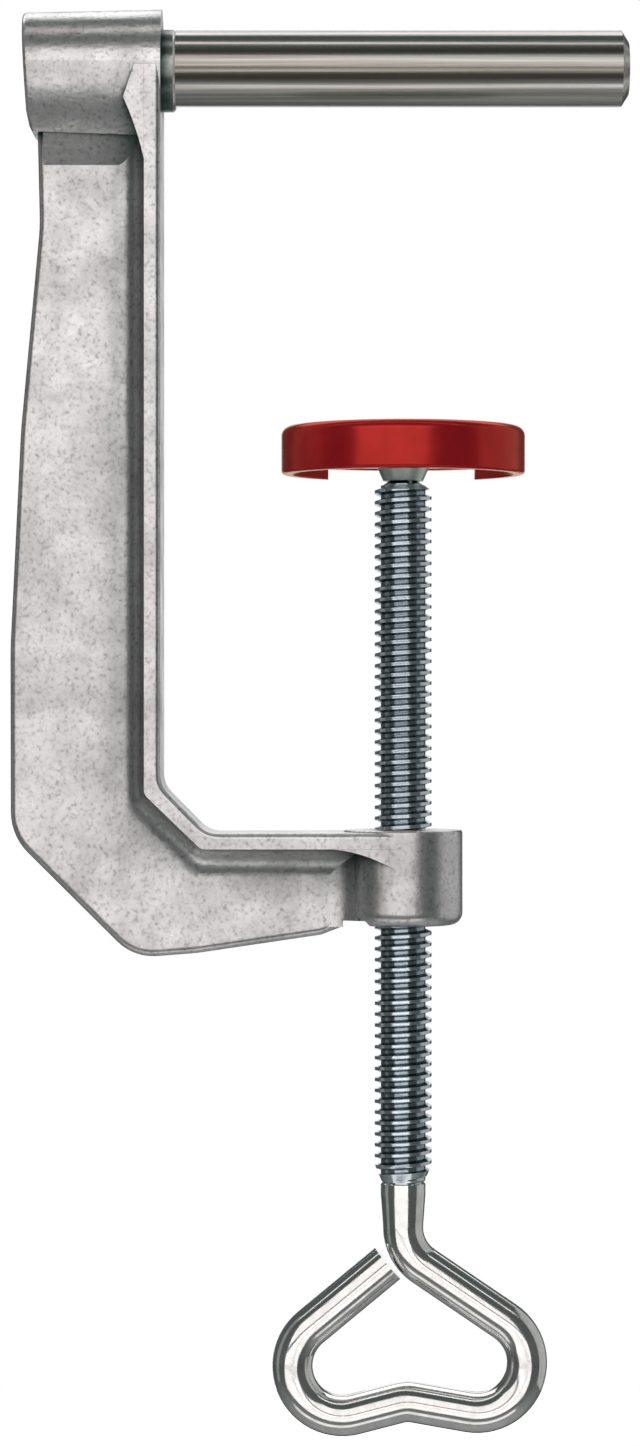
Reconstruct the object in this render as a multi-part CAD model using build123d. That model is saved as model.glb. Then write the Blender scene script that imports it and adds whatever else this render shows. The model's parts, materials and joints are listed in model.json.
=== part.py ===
from build123d import *
import math
import os

# Table clamp: a cast C-shaped frame that carries a plain round bar at the top and a threaded spindle at
# the bottom, with a swivelling capped plate that presses against the underside of a table top.
# Millimetres. The bar's axis is X, the spindle's axis is Z, and they cross at the origin.

# ---- Driving dimensions ----
HALF_WIDTH = 8.1            # of the flange, along Y
WEB_HALF = 3.1              # of the web, along Y
FLANGE_THICK = 2.2
WEB_EDGE_R = 1.0
FLANGE_EDGE_R = 0.8         # along the flange's inner face
WEB_FILLET = 4.0            # between the web and the flange
INNER_X = -33.25            # inner face of the upright
FLANGE_TOP_Z = -0.5
ARM_TOP_Z = -105.3

BAR_R = 5.25
BAR_END_X = 31.1
BAR_TAIL_X = -49.0          # the end that is pressed into the casting
BAR_CHAMFER_LENGTH = 1.0
BAR_CHAMFER_DEPTH = 1.6
SPIGOT_R = 5.0              # thinner end of the bar, inside the casting
BEAD_R = 5.65               # cast bead round the bar, hanging a little low
BEAD_DROP = 0.3
BEAD_LENGTH = 1.9

UPPER_BOSS_LEFT_X = -52.5
UPPER_BOSS_R_LEFT = 7.7
UPPER_BOSS_R_RIGHT = 8.1
UPPER_BOSS_FLOOR_LEFT_Z = -9.2
UPPER_BOSS_FLOOR_RIGHT_Z = -9.9
FLOOR_SHARE = 0.63          # width of the boss's flat underside over its diameter
SIDE_BULGE = 0.90           # half width of the boss halfway down to its underside, over its radius
STEP_HEIGHT = 3.9           # of the slanted step under the upper boss

NECK_NOTCH_Z = -117.4       # top of the notch between the arm and the lower boss
LOWER_BOSS_R = 8.2
LOWER_BOSS_TOP_Z = -105.0
LOWER_BOSS_BOTTOM_Z = -118.15
BORE_CLEARANCE = 0.15       # between the thread's crests and the bore
BORE_DISH_R = 5.6           # of the dish at the top of the bore

PITCH = 1.5
CREST_R = 3.95
ROOT_R = 3.1
CREST_SHARE = 0.30          # of a pitch
ROOT_SHARE = 0.30
TURNS_PER_SPAN = 8
SPANS = 8
THREAD_TOP_Z = -57.5
THREAD_BOTTOM_Z = THREAD_TOP_Z - PITCH * TURNS_PER_SPAN * SPANS
THREAD_CHAMFER = 0.9
RUN_OUT = 3.0               # tapered end of the thread beside the handle

NECK_R = 2.65                # shoulder between the thread and the plate
PIN_R = 1.9                 # spindle end that the plate swivels on
PIN_TOP_Z = -51.55
GROOVE_R = 1.45
RING_BOTTOM_Z = -52.75
RING_THICK = 0.7
RING_R = 3.3
RING_CLEARANCE = 0.06
GROOVE_PLAY = 0.1           # above and below the ring

CAP_R = 16.8
CAP_TOP_Z = -49.4
CAP_TOP_THICK = 1.7
CAP_WALL = 1.5
CAP_SKIRT_Z = -54.5
CAP_LIP_Z = -56.0
LIP_REACH = 0.9             # how far the snap lips reach under the plate
NOTCH_HALF = 10.3           # half the gap between the snap lips

PLATE_THICK = 3.2
COLLAR_TOP_R = 3.7
COLLAR_END_R = 2.75
COLLAR_END_Z = -56.9
PLATE_BORE_R = 2.2
RECESS_R = 5.0
RECESS_DEPTH = 2.0

WIRE_R = 2.78
SHANK_R = 3.1
SHANK_FULL_Z = -155.4       # above this the shank has its full radius
SHANK_END_Z = -159.7
STUB_R = 1.8                # wire end that is pressed into the spindle
STUB_LENGTH = 9.0
BEND_R = 6.4
LOBE_R = 6.9
DIP_R = 5.0
BEND_CORNER = (0.0, -163.3)
RIGHT_CORNER = (40.75, -190.95)
DIP_CORNER = (0.45, -183.85)
LEFT_CORNER = (-36.6, -193.4)
WIRE_END = (-2.1, -164.85)

OVERLAP = 0.5               # how far the parts of the casting run into each other
BOTTOM = (Align.CENTER, Align.CENTER, Align.MIN)


def outline(points, radii):
    """Closed outline in the XZ plane with a rounded corner at each point; radius 0 keeps it sharp."""
    return make_face(Plane.XZ * FilletPolyline(*points, radius=radii, close=True))


def slab(face, half_width):
    return extrude(face, half_width, both=True)


def web():
    """Flat middle of the casting: upright, diagonal heel and arm."""
    return slab(
        outline(
            [
                (-50.4, -5.0),
                (-50.0, -22.0),
                (-52.6, -50.0),
                (-54.05, -80.0),
                (-54.0, -105.8),
                (-37.1, -122.6),
                (-28.5, -121.95),
                (-11.3, -119.4),
                (-8.7, -118.4),
                (-8.3, NECK_NOTCH_Z),
                (-2.0, NECK_NOTCH_Z),
                (-2.0, ARM_TOP_Z - OVERLAP),
                (-26.8, ARM_TOP_Z - OVERLAP),
                (INNER_X - OVERLAP, -98.9),
                (INNER_X - OVERLAP, -5.0),
            ],
            [0, 25, 60, 60, 8, 7, 30, 1.2, 0.4, 0, 0, 0, 3, 3, 0],
        ),
        WEB_HALF,
    )


def flange():
    """Wide inner strip of the T section, from the upper boss round the corner to the lower boss."""
    back = INNER_X - FLANGE_THICK
    under = ARM_TOP_Z - FLANGE_THICK
    return slab(
        outline(
            [
                (back, FLANGE_TOP_Z),
                (back, -100.0),
                (-27.7, under),
                (0, under),
                (0, ARM_TOP_Z),
                (-26.85, ARM_TOP_Z),
                (INNER_X, -98.8),
                (INNER_X, FLANGE_TOP_Z),
            ],
            [0, 1.5, 1.5, 0, 0, 4, 3.5, 0],
        ),
        HALF_WIDTH,
    )


def near_web_face(edge):
    return abs(abs(edge.center().Y) - WEB_HALF) < 0.01 and abs((edge @ 0).Y - (edge @ 1).Y) < 0.01


def t_section():
    """Web and flange with the hollow fillets between them and the outer edges rounded."""
    shape = web() + flange()
    back = INNER_X - FLANGE_THICK
    under = ARM_TOP_Z - FLANGE_THICK
    inner = shape.edges().filter_by(near_web_face)
    inner = [e for e in inner if e.center().X > back - 0.01 and e.center().Z > under - 0.01]
    shape = fillet(inner, WEB_FILLET)
    outer = shape.edges().filter_by(near_web_face)
    outer = [e for e in outer if e.center().X < -50.5 or e.center().Z < -104.0]
    outer = [e for e in outer if on_web_outline(e)]
    shape = fillet(outer, WEB_EDGE_R)
    rims = shape.edges().filter_by(on_flange_rim)
    return fillet(rims, FLANGE_EDGE_R)


def on_flange_rim(edge):
    """True for the long edges of the flange's inner face, which the table's edge meets."""
    middle = edge @ 0.5
    right = middle.X - INNER_X
    up = middle.Z - ARM_TOP_Z
    long_way = abs((edge @ 0).Y - (edge @ 1).Y) < 0.01 and abs(abs(middle.Y) - HALF_WIDTH) < 0.01
    return long_way and right > -0.01 and up > -0.01 and right + up > 2 * FLANGE_THICK


def on_web_outline(edge):
    """True for the edges round the outside of the web, from the upper boss to the arm's end."""
    middle = edge @ 0.5
    upright = middle.X < -49.0 and middle.Z < -12.0
    heel = middle.X < -33.0 and middle.Z < -103.0
    arm = middle.X < -9.5 and middle.Z < -118.0
    return upright or heel or arm


def boss_profile(x, r, floor_z):
    """Section of the upper boss across the bar: round on top, sides drawn in to a flat underside."""
    half = FLOOR_SHARE * r
    side = (SIDE_BULGE * r, 0.50 * floor_z)
    top = ThreePointArc((-r, 0), (0, r), (r, 0))
    right = ThreePointArc((r, 0), side, (half, floor_z))
    base = Line((half, floor_z), (-half, floor_z))
    left = ThreePointArc((-half, floor_z), (-side[0], side[1]), (-r, 0))
    return Plane.YZ.offset(x) * make_face([top, right, base, left])


def boss_underside():
    """Slanted step from the upper boss down to the web faces."""
    half = FLOOR_SHARE * UPPER_BOSS_R_LEFT
    foot = WEB_HALF - 0.05
    top_z = UPPER_BOSS_FLOOR_LEFT_Z + OVERLAP
    low_z = UPPER_BOSS_FLOOR_RIGHT_Z - STEP_HEIGHT
    start_x = -49.4
    sides = Polyline((half, top_z), (foot, low_z), (-foot, low_z), (-half, top_z), close=True)
    return extrude(Plane.YZ.offset(start_x) * make_face(sides), INNER_X - 1.0 - start_x)


def hollow_gusset(start, middle, end, corners):
    """Filling behind a hollow curve in the XZ plane, a hair narrower than the flange."""
    curve = ThreePointArc(start, middle, end)
    rest = Polyline(end, *corners, start)
    return slab(Plane.XZ * make_face([curve, *rest.edges()]), HALF_WIDTH - 0.02)


def flange_flare():
    """The flange widens in a hollow curve where it runs into the upper boss."""
    back = INNER_X - FLANGE_THICK - 0.02
    inside = INNER_X - FLANGE_EDGE_R - 0.1
    corners = [(inside, -13.4), (inside, FLANGE_TOP_Z), (-36.8, FLANGE_TOP_Z)]
    return hollow_gusset((-38.3, -5.0), (-36.5, -9.6), (back, -13.4), corners)


def arm_gusset():
    """The flange thickens in a hollow curve where it runs into the lower boss."""
    under = ARM_TOP_Z - FLANGE_THICK
    inside = ARM_TOP_Z - FLANGE_EDGE_R - 0.1
    corners = [(0, -110.8), (0, inside), (-10.0, inside)]
    return hollow_gusset((-10.0, under + 0.02), (-6.2, -108.15), (-3.2, -109.3), corners)


def neck_fillet():
    """Hollow corners between the web's faces and the lower boss."""
    web_y = WEB_HALF - 0.05
    low_z = NECK_NOTCH_Z - 0.9
    height = ARM_TOP_Z - FLANGE_THICK - 0.3 - low_z
    start = (-10.6, web_y)
    end = (-6.2, 5.2)
    inside = Polyline(end, (-5.0, web_y - 0.3), (-10.6, web_y - 0.3), start)
    corner = make_face([ThreePointArc(start, (-7.9, 3.85), end), *inside.edges()])
    front = Pos(0, 0, low_z) * extrude(corner, height)
    return front + mirror(front, Plane.XZ)


def upper_boss():
    """Boss for the bar, its outer end leaning in towards the bottom."""
    left = boss_profile(UPPER_BOSS_LEFT_X, UPPER_BOSS_R_LEFT, UPPER_BOSS_FLOOR_LEFT_Z)
    right = boss_profile(INNER_X, UPPER_BOSS_R_RIGHT, UPPER_BOSS_FLOOR_RIGHT_Z)
    boss = loft([left, right])
    end = [(-54, 9), (UPPER_BOSS_LEFT_X, 9), (-51.65, -6.6), (-51.25, -8.6), (-50.5, -9.9), (-54, -9.9)]
    boss -= slab(outline(end, 0), 12)
    ends = boss.edges().filter_by(lambda e: e.center().X < -50.4)
    return fillet(ends, 0.6)


def lower_boss():
    height = LOWER_BOSS_TOP_Z - LOWER_BOSS_BOTTOM_Z
    boss = Pos(0, 0, LOWER_BOSS_BOTTOM_Z) * Cylinder(LOWER_BOSS_R, height, align=BOTTOM)
    boss = fillet(boss.edges().group_by(Axis.Z)[0].filter_by(GeomType.CIRCLE), 1.8)
    return fillet(boss.edges().group_by(Axis.Z)[-1].filter_by(GeomType.CIRCLE), 0.4)


def bar_bead():
    """Cast bead round the bar where it leaves the upper boss."""
    bead = Pos(INNER_X - OVERLAP, 0, -BEAD_DROP) * Rot(0, 90, 0)
    bead *= Cylinder(BEAD_R, OVERLAP + BEAD_LENGTH, align=BOTTOM)
    return chamfer(bead.edges().group_by(Axis.X)[-1].filter_by(GeomType.CIRCLE), 0.3)


def clamp_frame():
    frame = t_section() + boss_underside() + flange_flare() + upper_boss()
    frame += arm_gusset() + neck_fillet() + lower_boss() + bar_bead()
    notch = [(-8.3, NECK_NOTCH_Z), (-5.3, NECK_NOTCH_Z), (-4.2, -118.6), (-4.2, -120), (-8.3, -120)]
    frame -= slab(outline(notch, 0), 12)
    pocket_depth = INNER_X + BEAD_LENGTH - BAR_TAIL_X
    frame -= Pos(BAR_TAIL_X, 0, 0) * Rot(0, 90, 0) * Cylinder(SPIGOT_R, pocket_depth, align=BOTTOM)
    bore_r = CREST_R + BORE_CLEARANCE
    height = LOWER_BOSS_TOP_Z - LOWER_BOSS_BOTTOM_Z
    frame -= Pos(0, 0, LOWER_BOSS_BOTTOM_Z) * Cylinder(bore_r, height, align=BOTTOM)
    frame -= Pos(0, 0, LOWER_BOSS_TOP_Z - 0.6) * Cone(bore_r, BORE_DISH_R, 0.6, align=BOTTOM)
    frame -= Pos(0, 0, LOWER_BOSS_BOTTOM_Z) * Cone(bore_r + 0.6, bore_r, 0.6, align=BOTTOM)
    return frame


def mounting_bar():
    shoulder_x = INNER_X + BEAD_LENGTH
    place = Pos(shoulder_x, 0, 0) * Rot(0, 90, 0)
    bar = place * Cylinder(BAR_R, BAR_END_X - shoulder_x, align=BOTTOM)
    end = bar.edges().group_by(Axis.X)[-1].filter_by(GeomType.CIRCLE)
    bar = chamfer(end, BAR_CHAMFER_LENGTH, BAR_CHAMFER_DEPTH)
    bar = fillet(bar.edges().group_by(Axis.X)[-1].filter_by(GeomType.CIRCLE), 0.3)
    spigot = Pos(BAR_TAIL_X, 0, 0) * Rot(0, 90, 0)
    return bar + spigot * Cylinder(SPIGOT_R, shoulder_x - BAR_TAIL_X, align=BOTTOM)


def thread_section():
    """Section of the single-start thread across its axis: crest and root arcs joined by the flanks."""
    crest = 2 * math.pi * CREST_SHARE
    root = 2 * math.pi * ROOT_SHARE
    flank = (2 * math.pi - crest - root) / 2

    def point(r, angle):
        return (r * math.cos(angle), r * math.sin(angle))

    def arc(r, start, size):
        return ThreePointArc(point(r, start), point(r, start + size / 2), point(r, start + size))

    def ramp(r_start, r_end, start):
        steps = 6
        points = []
        for k in range(steps + 1):
            r = r_start + (r_end - r_start) * k / steps
            points.append(point(r, start + flank * k / steps))
        return Spline(*points)

    return make_face(
        [
            arc(CREST_R, 0, crest),
            ramp(CREST_R, ROOT_R, crest),
            arc(ROOT_R, crest + flank, root),
            ramp(ROOT_R, CREST_R, crest + flank + root),
        ]
    )


def turned(points):
    """Solid of revolution about the Z axis from (radius, z) points."""
    return revolve(Plane.XZ * make_face(Polyline(*points, close=True)), Axis.Z)


def threaded_rod():
    """Right-hand thread, as equal spans of whole turns, tapered at both ends."""
    span = PITCH * TURNS_PER_SPAN
    bottom = THREAD_TOP_Z - span * SPANS
    section = Pos(0, 0, bottom) * thread_section()
    turn = 360 * TURNS_PER_SPAN
    first = Solid.extrude_linear_with_rotation(section.face(), (0, 0, bottom), (0, 0, span), turn)
    start_r = ROOT_R - 0.1
    full_r = CREST_R + 0.3
    lower_taper = turned(
        [
            (0, bottom),
            (start_r, bottom),
            (full_r, bottom + RUN_OUT),
            (full_r, bottom + 2 * span),
            (0, bottom + 2 * span),
        ]
    )
    upper_taper = turned(
        [
            (0, THREAD_TOP_Z - 2 * span),
            (full_r, THREAD_TOP_Z - 2 * span),
            (full_r, THREAD_TOP_Z - THREAD_CHAMFER),
            (start_r, THREAD_TOP_Z),
            (0, THREAD_TOP_Z),
        ]
    )
    rod = first & lower_taper
    for k in range(1, SPANS - 1):
        rod += Pos(0, 0, k * span) * first
    return rod + ((Pos(0, 0, (SPANS - 1) * span) * first) & upper_taper)


def spindle_screw():
    thread = threaded_rod()
    groove_top = RING_BOTTOM_Z + RING_THICK + GROOVE_PLAY
    groove_low = RING_BOTTOM_Z - GROOVE_PLAY
    tip = turned(
        [
            (0, THREAD_TOP_Z - 2.0),
            (NECK_R, THREAD_TOP_Z - 2.0),
            (NECK_R, THREAD_TOP_Z + 0.15),
            (PIN_R, THREAD_TOP_Z + 0.65),
            (PIN_R, groove_low),
            (GROOVE_R, groove_low),
            (GROOVE_R, groove_top),
            (PIN_R, groove_top),
            (PIN_R, PIN_TOP_Z - 0.3),
            (PIN_R - 0.4, PIN_TOP_Z),
            (0, PIN_TOP_Z),
        ]
    )
    return thread + tip - Pos(0, 0, THREAD_BOTTOM_Z) * Cylinder(STUB_R, STUB_LENGTH, align=BOTTOM)


def handle_wire():
    """Open heart bent from one length of wire, starting in the spindle's end."""
    path = Plane.XZ * FilletPolyline(
        (0, SHANK_END_Z),
        BEND_CORNER,
        RIGHT_CORNER,
        DIP_CORNER,
        LEFT_CORNER,
        WIRE_END,
        radius=[BEND_R, LOBE_R, DIP_R, LOBE_R],
    )
    start = Plane(origin=path @ 0, z_dir=path % 0)
    wire = sweep(start * Circle(WIRE_R), path=path)
    shank = turned(
        [
            (0, SHANK_END_Z),
            (WIRE_R, SHANK_END_Z),
            (SHANK_R, SHANK_FULL_Z),
            (SHANK_R, THREAD_BOTTOM_Z - 0.35),
            (SHANK_R - 0.35, THREAD_BOTTOM_Z),
            (STUB_R, THREAD_BOTTOM_Z),
            (STUB_R, THREAD_BOTTOM_Z + STUB_LENGTH),
            (0, THREAD_BOTTOM_Z + STUB_LENGTH),
        ]
    )
    return wire + shank


def retaining_ring():
    """Flat open spring ring in the spindle's groove."""
    inner_r = GROOVE_R + RING_CLEARANCE
    place = Pos(0, 0, RING_BOTTOM_Z)
    ring = place * Cylinder(RING_R, RING_THICK, align=BOTTOM)
    ring -= place * Cylinder(inner_r, RING_THICK, align=BOTTOM)
    mouth = Box(RING_R + 1, 1.8 * GROOVE_R, RING_THICK, align=(Align.MIN, Align.CENTER, Align.MIN))
    return ring - place * mouth


def pressure_plate():
    top = CAP_TOP_Z - CAP_TOP_THICK
    low = top - PLATE_THICK
    plate_r = CAP_R - CAP_WALL
    floor = top - RECESS_DEPTH
    return turned(
        [
            (RECESS_R, top),
            (plate_r - 0.3, top),
            (plate_r, top - 0.3),
            (plate_r, low + 0.3),
            (plate_r - 0.3, low),
            (COLLAR_TOP_R + 0.6, low),
            (COLLAR_TOP_R, low - 0.5),
            (COLLAR_END_R, COLLAR_END_Z),
            (PLATE_BORE_R + 0.3, COLLAR_END_Z),
            (PLATE_BORE_R, COLLAR_END_Z + 0.3),
            (PLATE_BORE_R, floor),
            (RECESS_R, floor),
        ]
    )


def protective_cap():
    """Shallow plastic cap with two snap lips at its sides; the skirt is cut back at the rear."""
    inner_r = CAP_R - CAP_WALL
    ceiling = CAP_TOP_Z - CAP_TOP_THICK
    plate_low = ceiling - PLATE_THICK
    shell = turned([(0, CAP_TOP_Z), (CAP_R, CAP_TOP_Z), (CAP_R, CAP_LIP_Z), (0, CAP_LIP_Z)])
    shell = fillet(shell.edges().group_by(Axis.Z)[-1], 1.3)
    shell = fillet(shell.edges().group_by(Axis.Z)[0], 0.5)
    hollow = turned([(0, ceiling), (inner_r, ceiling), (inner_r, plate_low), (0, plate_low)])
    lip_r = inner_r - LIP_REACH
    mouth = turned(
        [
            (0, plate_low + 0.1),
            (lip_r, plate_low + 0.1),
            (lip_r, plate_low - 0.6),
            (inner_r, CAP_LIP_Z + 0.2),
            (inner_r, CAP_LIP_Z - 1.0),
            (0, CAP_LIP_Z - 1.0),
        ]
    )
    wide = Box(2 * NOTCH_HALF, 3 * CAP_R, 20, align=(Align.CENTER, Align.CENTER, Align.MAX))
    notch = Pos(0, 0, CAP_SKIRT_Z) * wide & Pos(0, 1.5 * CAP_R, 0) * Box(3 * CAP_R, 3 * CAP_R, 200)
    undercut = turned([(0, plate_low + 0.1), (inner_r, plate_low + 0.1), (inner_r, -60), (0, -60)])
    undercut &= Pos(0, 0, plate_low + 0.1) * wide
    return shell - hollow - mouth - notch - undercut


def main():
    os.makedirs("parts", exist_ok=True)
    makers = [
        clamp_frame,
        mounting_bar,
        spindle_screw,
        handle_wire,
        retaining_ring,
        pressure_plate,
        protective_cap,
    ]
    for maker in makers:
        export_step(maker(), f"parts/{maker.__name__}.step")


main()
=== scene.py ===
import json
import math

import bpy
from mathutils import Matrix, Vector


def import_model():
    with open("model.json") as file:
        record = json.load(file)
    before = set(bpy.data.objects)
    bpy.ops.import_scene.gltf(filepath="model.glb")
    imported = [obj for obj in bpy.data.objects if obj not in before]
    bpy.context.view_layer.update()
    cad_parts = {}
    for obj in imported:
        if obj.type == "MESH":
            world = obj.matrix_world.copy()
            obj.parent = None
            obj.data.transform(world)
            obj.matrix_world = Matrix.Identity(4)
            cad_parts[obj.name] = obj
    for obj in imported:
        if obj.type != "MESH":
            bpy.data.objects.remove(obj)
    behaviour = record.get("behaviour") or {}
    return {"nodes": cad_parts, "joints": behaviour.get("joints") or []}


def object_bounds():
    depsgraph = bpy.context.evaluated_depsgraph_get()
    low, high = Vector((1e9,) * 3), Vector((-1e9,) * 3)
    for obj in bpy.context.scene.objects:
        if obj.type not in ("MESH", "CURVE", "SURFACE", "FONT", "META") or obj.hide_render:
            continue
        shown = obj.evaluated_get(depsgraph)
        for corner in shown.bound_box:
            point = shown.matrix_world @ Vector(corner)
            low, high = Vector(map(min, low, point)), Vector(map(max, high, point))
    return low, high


# Table clamp in plain studio light, in metres. The CAD frame gives every size and place.

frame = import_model()
cad_low, cad_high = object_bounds()
nodes = frame["nodes"]

# ---- Driving values of the picture ----
CAMERA_DISTANCE = 0.58       # from the bar's and the spindle's common plane
SENSOR = 0.036               # long side, in metres
VIEW_MARGIN = 1.0147         # frame height over object height
FLOOR_DROP = 0.90            # floor below the lowest point that the handle reaches
FLOOR_SIZE = 12.0
LAMP_DISTANCE = 1.0          # of every soft box, from the object's middle
ROOM_LIGHT = 0.11            # strength of the light from all round
# Reach of the painted shade (ambient occlusion darkening the base colour) in the casting's hollows
CAST_SHADE_REACH = 0.007          # widest hollow that darkens the casting
# Reach of the painted shade (ambient occlusion darkening the base colour) in the thread's roots
THREAD_SHADE_REACH = 0.0015       # widest hollow that darkens the thread


def link(tree, source, output, target, socket):
    tree.links.new(source.outputs[output], target.inputs[socket])


def new_material(name):
    """Material with a Principled shader and object coordinates, which are the frame's own metres."""
    material = bpy.data.materials.new(name)
    material.use_nodes = True
    tree = material.node_tree
    shader = tree.nodes["Principled BSDF"]
    place = tree.nodes.new("ShaderNodeTexCoord")
    return material, tree, shader, place


def noise(tree, place, scale, detail=4.0, roughness=0.55, stretch=(1, 1, 1)):
    """Fractal noise in object space; scale counts features per metre."""
    mapping = tree.nodes.new("ShaderNodeMapping")
    mapping.inputs["Scale"].default_value = stretch
    link(tree, place, "Object", mapping, "Vector")
    node = tree.nodes.new("ShaderNodeTexNoise")
    node.inputs["Scale"].default_value = scale
    node.inputs["Detail"].default_value = detail
    node.inputs["Roughness"].default_value = roughness
    link(tree, mapping, "Vector", node, "Vector")
    return node


def ramp(tree, source, output, stops):
    """Colour ramp from (position, colour) stops; a colour may be one grey number."""
    node = tree.nodes.new("ShaderNodeValToRGB")
    elements = node.color_ramp.elements
    while len(elements) < len(stops):
        elements.new(0.5)
    for element, (position, colour) in zip(elements, stops):
        element.position = position
        if not hasattr(colour, "__len__"):
            colour = (colour, colour, colour)
        element.color = (*colour, 1)
    link(tree, source, output, node, "Fac")
    return node


def multiply(tree, first, first_output, second, second_output):
    """Second colour laid over the first one by multiplication."""
    node = tree.nodes.new("ShaderNodeMix")
    node.data_type = "RGBA"
    node.blend_type = "MULTIPLY"
    node.inputs[0].default_value = 1.0
    link(tree, first, first_output, node, 6)
    link(tree, second, second_output, node, 7)
    return node


def painted_recess_shade(tree, reach, stops):
    """Painted shade: base colour darkened by ambient occlusion in hollows narrower than the reach, in
    metres; the first stop is the deepest.
    """
    node = tree.nodes.new("ShaderNodeAmbientOcclusion")
    node.samples = 8
    node.only_local = True
    node.inputs["Distance"].default_value = reach
    return ramp(tree, node, "AO", stops)


def bump(tree, source, output, strength, distance, before=None):
    node = tree.nodes.new("ShaderNodeBump")
    node.inputs["Strength"].default_value = strength
    node.inputs["Distance"].default_value = distance
    link(tree, source, output, node, "Height")
    if before:
        link(tree, before, "Normal", node, "Normal")
    return node


def cast_alloy():
    """Tumbled die casting: pale warm grey, fine grain, a few dents and cloudy patches; painted shade
    darkens its hollows.
    """
    material, tree, shader, place = new_material("cast_alloy")
    shader.inputs["Metallic"].default_value = 1.0
    grain = noise(tree, place, 1700, 3, 0.6)
    cloud = noise(tree, place, 140, 5, 0.65)
    dents = noise(tree, place, 420, 2, 0.5)
    tone = ramp(tree, cloud, "Fac", [(0.32, (0.66, 0.645, 0.64)), (0.60, (0.93, 0.91, 0.91))])
    speckle = ramp(tree, grain, "Fac", [(0.28, 0.55), (0.45, 0.91), (0.6, 1.0)])
    # Painted shade: ambient occlusion darkens the base colour to green-grey in grooves, in the step and
    # under the bosses
    shade = painted_recess_shade(tree, CAST_SHADE_REACH, [(0.60, (0.07, 0.125, 0.11)), (0.97, (1, 1, 1))])
    grainy = multiply(tree, tone, "Color", speckle, "Color")
    colour = multiply(tree, grainy, 2, shade, "Color")
    link(tree, colour, 2, shader, "Base Color")
    rough = ramp(tree, cloud, "Fac", [(0.3, 0.36), (0.7, 0.26)])
    link(tree, rough, "Color", shader, "Roughness")
    relief = bump(tree, grain, "Fac", 0.22, 0.00012)
    hollows = bump(tree, dents, "Fac", 0.16, 0.00035, relief)
    link(tree, hollows, "Normal", shader, "Normal")
    return material


def drawn_steel():
    """Drawn round steel: warm grey with fine streaks along the bar."""
    material, tree, shader, place = new_material("drawn_steel")
    shader.inputs["Metallic"].default_value = 1.0
    streak = noise(tree, place, 1500, 3, 0.6, (0.012, 1, 1))
    band = noise(tree, place, 420, 2, 0.5, (0.004, 1, 1))
    tone = ramp(tree, streak, "Fac", [(0.30, (0.44, 0.42, 0.39)), (0.70, (0.84, 0.82, 0.78))])
    wide = ramp(tree, band, "Fac", [(0.38, (0.42, 0.40, 0.36)), (0.60, (1, 1, 1))])
    colour = multiply(tree, tone, "Color", wide, "Color")
    link(tree, colour, 2, shader, "Base Color")
    rough = ramp(tree, streak, "Fac", [(0.3, 0.24), (0.7, 0.15)])
    link(tree, rough, "Color", shader, "Roughness")
    relief = bump(tree, streak, "Fac", 0.20, 0.00006)
    link(tree, relief, "Normal", shader, "Normal")
    return material


def plated(name, colour, roughness, reach=None):
    """Bright zinc with slightly uneven gloss; where a reach is given, painted shade darkens hollows
    narrower than it.
    """
    material, tree, shader, place = new_material(name)
    shader.inputs["Metallic"].default_value = 1.0
    patch = noise(tree, place, 700, 4, 0.6)
    dark = tuple(0.80 * c for c in colour)
    tone = ramp(tree, patch, "Fac", [(0.3, dark), (0.7, colour)])
    if reach:
        # Painted shade: ambient occlusion darkens the base colour to dark teal in the thread's roots
        shade = painted_recess_shade(tree, reach, [(0.34, (0.10, 0.18, 0.21)), (0.82, (1, 1, 1))])
        both = multiply(tree, tone, "Color", shade, "Color")
        link(tree, both, 2, shader, "Base Color")
    else:
        link(tree, tone, "Color", shader, "Base Color")
    rough = ramp(tree, patch, "Fac", [(0.3, roughness + 0.10), (0.7, roughness)])
    link(tree, rough, "Color", shader, "Roughness")
    relief = bump(tree, patch, "Fac", 0.12, 0.00008)
    link(tree, relief, "Normal", shader, "Normal")
    return material


def red_plastic():
    """Moulded red plastic with a faint sheen and a fine matte grain."""
    material, tree, shader, place = new_material("red_plastic")
    patch = noise(tree, place, 260, 4, 0.55)
    tone = ramp(tree, patch, "Fac", [(0.3, (0.58, 0.012, 0.026)), (0.7, (0.72, 0.020, 0.036))])
    link(tree, tone, "Color", shader, "Base Color")
    shader.inputs["Metallic"].default_value = 0.45
    shader.inputs["Specular IOR Level"].default_value = 0.9
    shader.inputs["Specular Tint"].default_value = (1.0, 0.55, 0.15, 1)
    grain = noise(tree, place, 3500, 2, 0.5)
    rough = ramp(tree, grain, "Fac", [(0.3, 0.27), (0.7, 0.20)])
    link(tree, rough, "Color", shader, "Roughness")
    relief = bump(tree, grain, "Fac", 0.10, 0.00005)
    link(tree, relief, "Normal", shader, "Normal")
    return material


def dress():
    """Puts the finished materials on the CAD nodes; the cap stays out of the bar's reflections."""
    looks = {
        "clamp_frame": cast_alloy(),
        "mounting_bar": drawn_steel(),
        "spindle_screw": plated("zinc_plated_thread", (0.80, 0.88, 0.94), 0.11, THREAD_SHADE_REACH),
        "handle_wire": plated("plated_wire", (0.95, 0.94, 0.92), 0.07),
        "retaining_ring": plated("spring_steel", (0.30, 0.30, 0.31), 0.35),
        "pressure_plate": plated("plated_plate", (0.78, 0.83, 0.76), 0.30),
        "protective_cap": red_plastic(),
    }
    for name, material in looks.items():
        for slot in nodes[name].material_slots:
            slot.material = material
        for face in nodes[name].data.polygons:
            face.use_smooth = True
    nodes["protective_cap"].visible_glossy = False


def lowest_reach():
    """Height of the lowest point when the spindle is screwed all the way down."""
    feed = next(j for j in frame["joints"] if j["name"] == "spindle_feed")
    return cad_low.z + feed["range_m"][0]


def floor():
    level = lowest_reach() - FLOOR_DROP
    bpy.ops.mesh.primitive_plane_add(size=FLOOR_SIZE, location=(0, 0, level))
    plane = bpy.context.object
    plane.name = "floor"
    material, _, shader, _ = new_material("floor")
    shader.inputs["Base Color"].default_value = (0.92, 0.92, 0.92, 1)
    shader.inputs["Roughness"].default_value = 0.9
    plane.data.materials.append(material)
    plane.is_shadow_catcher = True


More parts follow.
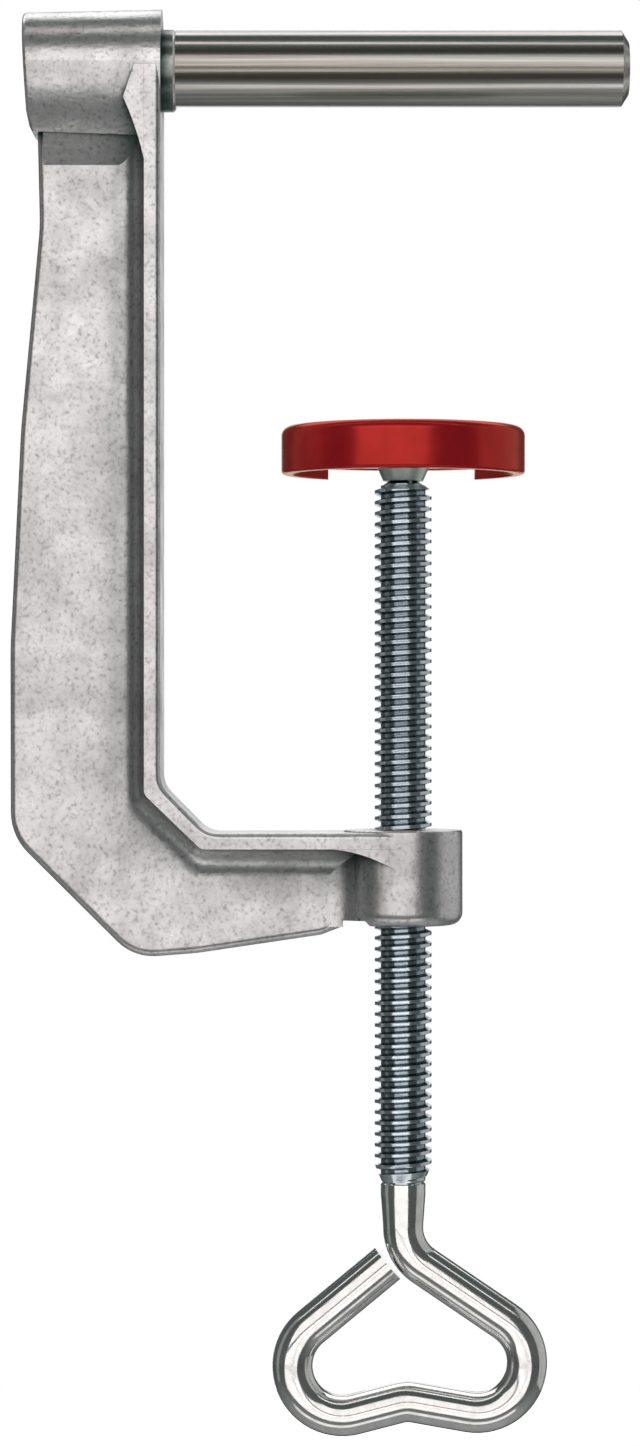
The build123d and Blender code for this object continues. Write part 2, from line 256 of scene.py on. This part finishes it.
def panel(name, azimuths, elevations, radiance, colour=(1, 1, 1), only=()):
    """Soft box that fills a range of directions, in degrees, as seen from the object.

    Azimuth 0 is towards the camera and 90 towards +X; an elevation over 90 is behind the object.
    Where nodes are named, it lights only them.
    """
    azimuth, elevation = (math.radians(sum(pair) / 2) for pair in (azimuths, elevations))
    width, height = (
        2 * LAMP_DISTANCE * math.tan(math.radians(pair[1] - pair[0]) / 2) for pair in (azimuths, elevations)
    )
    towards = Vector(
        (
            math.sin(azimuth) * math.cos(elevation),
            -math.cos(azimuth) * math.cos(elevation),
            math.sin(elevation),
        )
    )
    data = bpy.data.lights.new(name, "AREA")
    data.shape = "RECTANGLE"
    data.size = width
    data.size_y = height
    data.color = colour
    data.energy = radiance * math.pi * width * height
    lamp = bpy.data.objects.new(name, data)
    lamp.location = (cad_low + cad_high) / 2 + LAMP_DISTANCE * towards
    lamp.rotation_mode = "QUATERNION"
    lamp.rotation_quaternion = towards.to_track_quat("Z", "Y")
    lamp.visible_camera = False
    bpy.context.collection.objects.link(lamp)
    if only:
        lit = bpy.data.collections.new(name)
        for node in only:
            lit.objects.link(nodes[node])
        lamp.light_linking.receiver_collection = lit


def lights():
    warm = (1.0, 0.965, 0.955)
    panel("front_high", (-45, 24), (3, 38), 1.02, warm)
    panel("front_low", (-45, 24), (-13, -2), 1.2, warm)
    panel("front_bottom", (-45, 24), (-68, -54), 0.7, warm)
    panel("top_strip", (-60, 40), (72, 80), 1.1, warm)
    panel("top_back", (-35, 35), (112, 142), 1.3)
    panel("wire_low", (-45, 24), (-34, -14), 1.1, warm, ("handle_wire",))
    panel("right_back", (74, 138), (-30, 40), 0.34)
    panel("left_side", (-106, -84), (-25, 40), 0.16)
    panel("back", (166, 194), (-20, 30), 0.9)


def world():
    """White to the camera; softly graded light to everything else."""
    scene_world = bpy.data.worlds.new("studio")
    scene_world.use_nodes = True
    tree = scene_world.node_tree
    tree.nodes.clear()
    out = tree.nodes.new("ShaderNodeOutputWorld")
    mix = tree.nodes.new("ShaderNodeMixShader")
    rays = tree.nodes.new("ShaderNodeLightPath")
    seen = tree.nodes.new("ShaderNodeBackground")
    seen.inputs["Color"].default_value = (1, 1, 1, 1)
    light = tree.nodes.new("ShaderNodeBackground")
    light.inputs["Strength"].default_value = ROOM_LIGHT
    place = tree.nodes.new("ShaderNodeTexCoord")
    split = tree.nodes.new("ShaderNodeSeparateXYZ")
    link(tree, place, "Generated", split, "Vector")
    height = tree.nodes.new("ShaderNodeMapRange")
    height.inputs["From Min"].default_value = -1
    height.inputs["From Max"].default_value = 1
    link(tree, split, "Z", height, "Value")
    green = (0.62, 0.78, 0.74)
    stops = [(0.0, (1, 1, 1)), (0.35, green), (0.5, (0.9, 0.95, 0.95)), (1.0, green)]
    grade = ramp(tree, height, "Result", stops)
    link(tree, grade, "Color", light, "Color")
    link(tree, rays, "Is Camera Ray", mix, "Fac")
    link(tree, light, "Background", mix, 1)
    link(tree, seen, "Background", mix, 2)
    link(tree, mix, "Shader", out, "Surface")
    bpy.context.scene.world = scene_world


def camera():
    """At the middle of the object's front, level, as far as the cap's curve in the picture says."""
    centre = (cad_low + cad_high) / 2
    data = bpy.data.cameras.new("camera")
    data.sensor_fit = "AUTO"
    data.sensor_width = 1000 * SENSOR
    view_height = (cad_high.z - cad_low.z) * VIEW_MARGIN
    data.lens = data.sensor_width * CAMERA_DISTANCE / view_height
    data.clip_start = 0.01
    data.clip_end = 50
    eye = bpy.data.objects.new("camera", data)
    eye.location = (centre.x, -CAMERA_DISTANCE, centre.z)
    eye.rotation_euler = (math.pi / 2, 0, 0)
    bpy.context.collection.objects.link(eye)
    bpy.context.scene.camera = eye
    bpy.context.scene.view_settings.view_transform = "Standard"


dress()
floor()
lights()
world()
camera()
